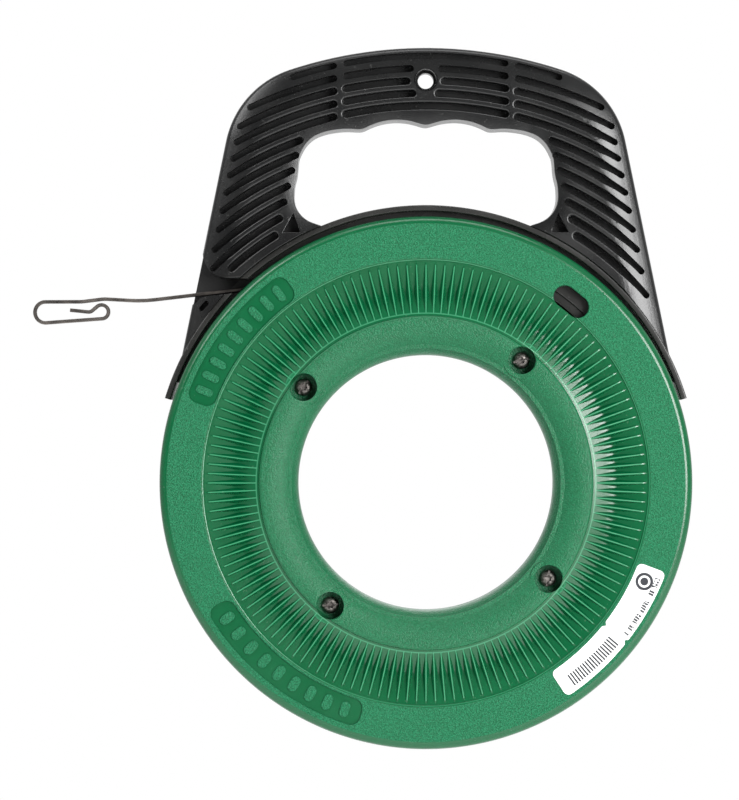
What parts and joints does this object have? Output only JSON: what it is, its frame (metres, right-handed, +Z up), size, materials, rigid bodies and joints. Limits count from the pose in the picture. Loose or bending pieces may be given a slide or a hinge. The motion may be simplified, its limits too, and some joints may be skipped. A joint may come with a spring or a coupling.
{
  "type": "fish tape reel",
  "caption": "Hand-held reel that stores a flat steel fish tape in a turning ring-shaped case, with a slotted grip handle whose shoe rides in the case rim and guides the tape out.",
  "frame": {"origin": "centre of the open hub, on the axis that the case turns about, half way through the case", "axes": "+Z up with the handle on top, -Y out of the front face along the reel axis, the tape leaving towards -X"},
  "size_m": [0.2757, 0.044, 0.2928],
  "materials": {
    "case_plastic": "moulded green plastic, stippled on the faces and smooth on the rim",
    "handle_plastic": "satin black plastic",
    "shoe_plastic": "smooth black bearing plastic",
    "screw_black": "black oxide screws",
    "tape_steel": "blued spring steel",
    "anchor_steel": "plated steel",
    "label_film": "printed white film"
  },
  "bodies": {
    "handle": {"handle_front_half": "handle_plastic", "handle_rear_half": "handle_plastic", "rim_shoe": "shoe_plastic", "handle_screw_1": "screw_black", "handle_screw_2": "screw_black", "handle_screw_3": "screw_black", "handle_screw_4": "screw_black", "handle_screw_5": "screw_black", "handle_screw_6": "screw_black"},
    "case": {"front_case_shell": "case_plastic", "rear_case_shell": "case_plastic", "case_screw_1": "screw_black", "case_screw_2": "screw_black", "case_screw_3": "screw_black", "case_screw_4": "screw_black", "tape_coil": "tape_steel", "tape_anchor": "anchor_steel", "spec_label": "label_film"},
    "lead": {"tape_lead": "tape_steel"}
  },
  "joints": [
    {"name": "case_spin", "type": "hinge", "parent": "handle", "child": "case", "pos_m": [0, 0, 0], "axis": [0, 1, 0], "continuous": true},
    {"name": "tape_slide", "type": "slide", "parent": "handle", "child": "lead", "axis": [-0.9932, 0, -0.1165], "range_m": [-0.025, 0.055]}
  ]
}
